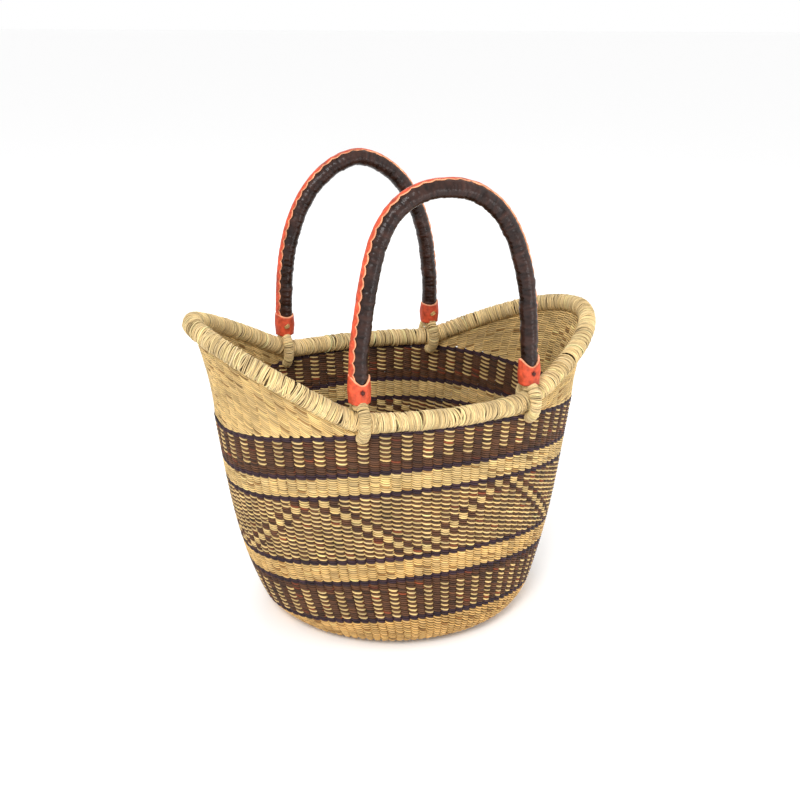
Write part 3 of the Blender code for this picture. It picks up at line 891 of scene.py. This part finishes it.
def make_stitch(name, leg, shape, straw):
    """Three turns of thread at the middle of a collar's front."""
    stitch = STITCHES[name]
    share = np.linspace(-1, 1, 9)
    rings = []
    for k, slant in enumerate(stitch["slants"]):
        offset = (k - 1) * stitch["gap"]
        run = stitch["reach"] * share * (1 - 0.12 * abs(k - 1))
        x = run * math.cos(slant) - offset * math.sin(slant)
        z = run * math.sin(slant) + offset * math.cos(slant)
        bulge = 0.0009 * (1 - share**2)
        y = -(COLLAR_RADII[1] + stitch["standoff"] + bulge) + 0.5 * x**2 / COLLAR_RADII[1]
        along = unit(np.gradient(np.stack((x, y, z), -1), axis=0))
        out = np.array((0.0, -1.0, 0.0))
        sideways = unit(np.cross(along, out))
        thick = 0.00075 * np.sqrt(1.05 - share**2)[:, None, None]
        turn = 2 * math.pi * np.arange(SIDES) / SIDES
        ring = np.stack((x, y, z), -1)[:, None] + thick * out * np.cos(turn)[:, None]
        rings.append(ring + thick * sideways[:, None] * np.sin(turn)[:, None])
    rings = np.stack(rings)
    rings[..., 0] += leg * HANDLE_HALF_WIDTH
    rings[..., 2] += COLLAR_START + 0.5 * COLLAR_HEIGHT
    along = np.broadcast_to(stitch["reach"] * share, rings.shape[:2])
    batch = tube_batch(in_place(rings, shape), False, tinted(stitch["colour"], (3, 1, 1)), along)
    prefix = corner_name(name, leg)
    finish_piece(joined(prefix + "_thread", [batch]), straw, "raffia", name + "_handle", prefix + "_stitch")


# Loops: the reach and height of the ring round the rim, how far it narrows towards the collar, and the stem
# that fills the collar's mouth.
LOOP_REACH = RIM_RADIUS + 0.0064
LOOP_RISE = 0.0025
LOOP_HALF_HEIGHT = 0.0185
LOOP_NECK = 0.94
LOOP_RADIUS = 0.0047
STEM_RADIUS = 0.0060
STEM_HEIGHTS = (0.011, 0.024)
STEM_POINTS = 12


def make_loop(name, leg, shape, straw):
    """A bundle of straw that passes round the rim and up into the collar, bound all along."""
    turn = np.linspace(0, 2 * math.pi, 241)[:-1]
    neck = 1 - LOOP_NECK * np.clip(np.sin(turn), 0, 1) ** 2
    y = LOOP_REACH * np.cos(turn) * neck
    z = LOOP_RISE + LOOP_HALF_HEIGHT * np.sin(turn)
    path = in_place(np.stack((np.full(turn.shape, leg * HANDLE_HALF_WIDTH), y, z), -1), shape)
    ring = wound(path, (1, 0, 0), LOOP_RADIUS, True, **LOOP_LAYER)
    stem = np.zeros((STEM_POINTS, 3))
    stem[:, 0] = leg * HANDLE_HALF_WIDTH
    stem[:, 2] = np.linspace(*STEM_HEIGHTS, STEM_POINTS)
    stem = wound(in_place(stem, shape), (1, 0, 0), STEM_RADIUS, False, **LOOP_LAYER)
    prefix = corner_name(name, leg)
    obj = joined(prefix + "_loop_binding", [ring, stem])
    finish_piece(obj, straw, "natural_straw", name + "_handle", prefix + "_loop")


def make_handles(straw, red, brown):
    """Both handles, each with its skin, lace and two fastened ends."""
    for name, shape in HANDLES.items():
        make_sleeve(name, shape, brown)
        make_lace(name, shape, red)
        for leg in (-1, 1):
            make_collar(name, leg, shape, red)
            make_stitch(name, leg, shape, straw)
            make_loop(name, leg, shape, straw)


def core_material():
    """Bundled grass for the cores under the windings, coloured far darker than the straw as painted shade
    where it shows between the wraps.
    """
    made, nodes, links, shader = shader_of("core_straw_painted_shade")
    noise = add_node(nodes, "TexNoise", Scale=260.0, Detail=4.0)
    # Painted shade: the ramp runs from near black to dark brown, so the gaps between the wraps look shaded.
    ramp = nodes.new("ShaderNodeValToRGB")
    ramp.color_ramp.elements[0].position = 0.35
    ramp.color_ramp.elements[0].color = (0.05, 0.025, 0.01, 1)
    ramp.color_ramp.elements[1].position = 0.7
    ramp.color_ramp.elements[1].color = (0.32, 0.19, 0.07, 1)
    place = add_node(nodes, "TexCoord")
    links.new(place.outputs["Object"], noise.inputs["Vector"])
    links.new(noise.outputs["Fac"], ramp.inputs["Fac"])
    links.new(ramp.outputs["Color"], shader.inputs["Base Color"])
    shader.inputs["Roughness"].default_value = CORE_ROUGHNESS
    return made


def dress_cores():
    """Gives the cores that stay as CAD solids their own material."""
    made = core_material()
    for node in ("rim_core", "front_handle_core", "back_handle_core"):
        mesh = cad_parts[node].data
        mesh.materials.clear()
        mesh.materials.append(made)


# Camera, light and floor ----------------------------------------------------------------------------------


# Lamps: place, power in watts and size. All look at the middle of the basket.
LAMPS = {
    "key": ((-1.1, -1.6, 1.9), 38, 0.9),
    "fill": ((1.7, -1.0, 1.1), 6, 1.6),
    "back": ((0.3, 1.8, 1.6), 10, 1.4),
    "glint": ((0.6, -1.2, 0.2), 2.4, 0.3),
}
LAMP_TARGET = Vector((0, 0, 0.18))
FLOOR_REACH = 40.0


def make_floor():
    """A plain pale floor."""
    floor = bpy.data.meshes.new("floor")
    corners = [(x * FLOOR_REACH, y * FLOOR_REACH, 0) for x, y in ((-1, -1), (1, -1), (1, 1), (-1, 1))]
    floor.from_pydata(corners, [], [(0, 1, 2, 3)])
    obj = bpy.data.objects.new("floor", floor)
    bpy.context.scene.collection.objects.link(obj)
    made, _, _, shader = shader_of("pale_floor")
    shader.inputs["Base Color"].default_value = (0.97, 0.97, 0.97, 1)
    shader.inputs["Roughness"].default_value = 0.9
    floor.materials.append(made)


def make_light():
    """A white studio with soft lamps."""
    scene = bpy.context.scene
    world = bpy.data.worlds.new("studio")
    world.use_nodes = True
    world.node_tree.nodes["Background"].inputs["Color"].default_value = (1, 1, 1, 1)
    world.node_tree.nodes["Background"].inputs["Strength"].default_value = 1.0
    scene.world = world
    for name, (place, power, size) in LAMPS.items():
        lamp = bpy.data.lights.new(name, "AREA")
        lamp.energy = power
        lamp.size = size
        light = bpy.data.objects.new(name, lamp)
        light.location = place
        light.rotation_mode = "QUATERNION"
        light.rotation_quaternion = (LAMP_TARGET - Vector(place)).to_track_quat("-Z", "Y")
        scene.collection.objects.link(light)
    scene.view_settings.view_transform = "Standard"


# Camera: azimuth, elevation and roll in degrees, and its distance from the point it looks at.
CAMERA_ANGLES = (-20.32, 19.61, 0.52)
CAMERA_DISTANCE = 1.10
CAMERA_TARGET = Vector((0, 0, 0.2144))


def make_camera():
    """The camera at the photographed angle: from the front left, a little above."""
    azimuth, elevation, roll = (math.radians(angle) for angle in CAMERA_ANGLES)
    back = Vector((
        math.sin(azimuth) * math.cos(elevation),
        -math.cos(azimuth) * math.cos(elevation),
        math.sin(elevation),
    ))
    data = bpy.data.cameras.new("camera")
    data.sensor_width = 36
    data.lens = 48.26
    data.shift_x = 0.0033
    data.shift_y = -0.0040
    camera = bpy.data.objects.new("camera", data)
    camera.location = CAMERA_TARGET + back * CAMERA_DISTANCE
    camera.rotation_mode = "QUATERNION"
    turn = (-back).to_track_quat("-Z", "Y")
    camera.rotation_quaternion = turn @ Matrix.Rotation(roll, 3, "Z").to_quaternion()
    bpy.context.scene.collection.objects.link(camera)
    bpy.context.scene.camera = camera


make_camera()
make_floor()
make_light()
straw = straw_material("twined_straw")
red_leather = leather_material("red_leather_grain", 0.48, 900)
brown_leather = leather_material("brown_leather_grain", 0.27, 420)
make_bands(straw)
make_base(straw)
make_wings(straw)
make_stakes(straw)
make_rim(straw)
make_handles(straw, red_leather, brown_leather)
dress_cores()
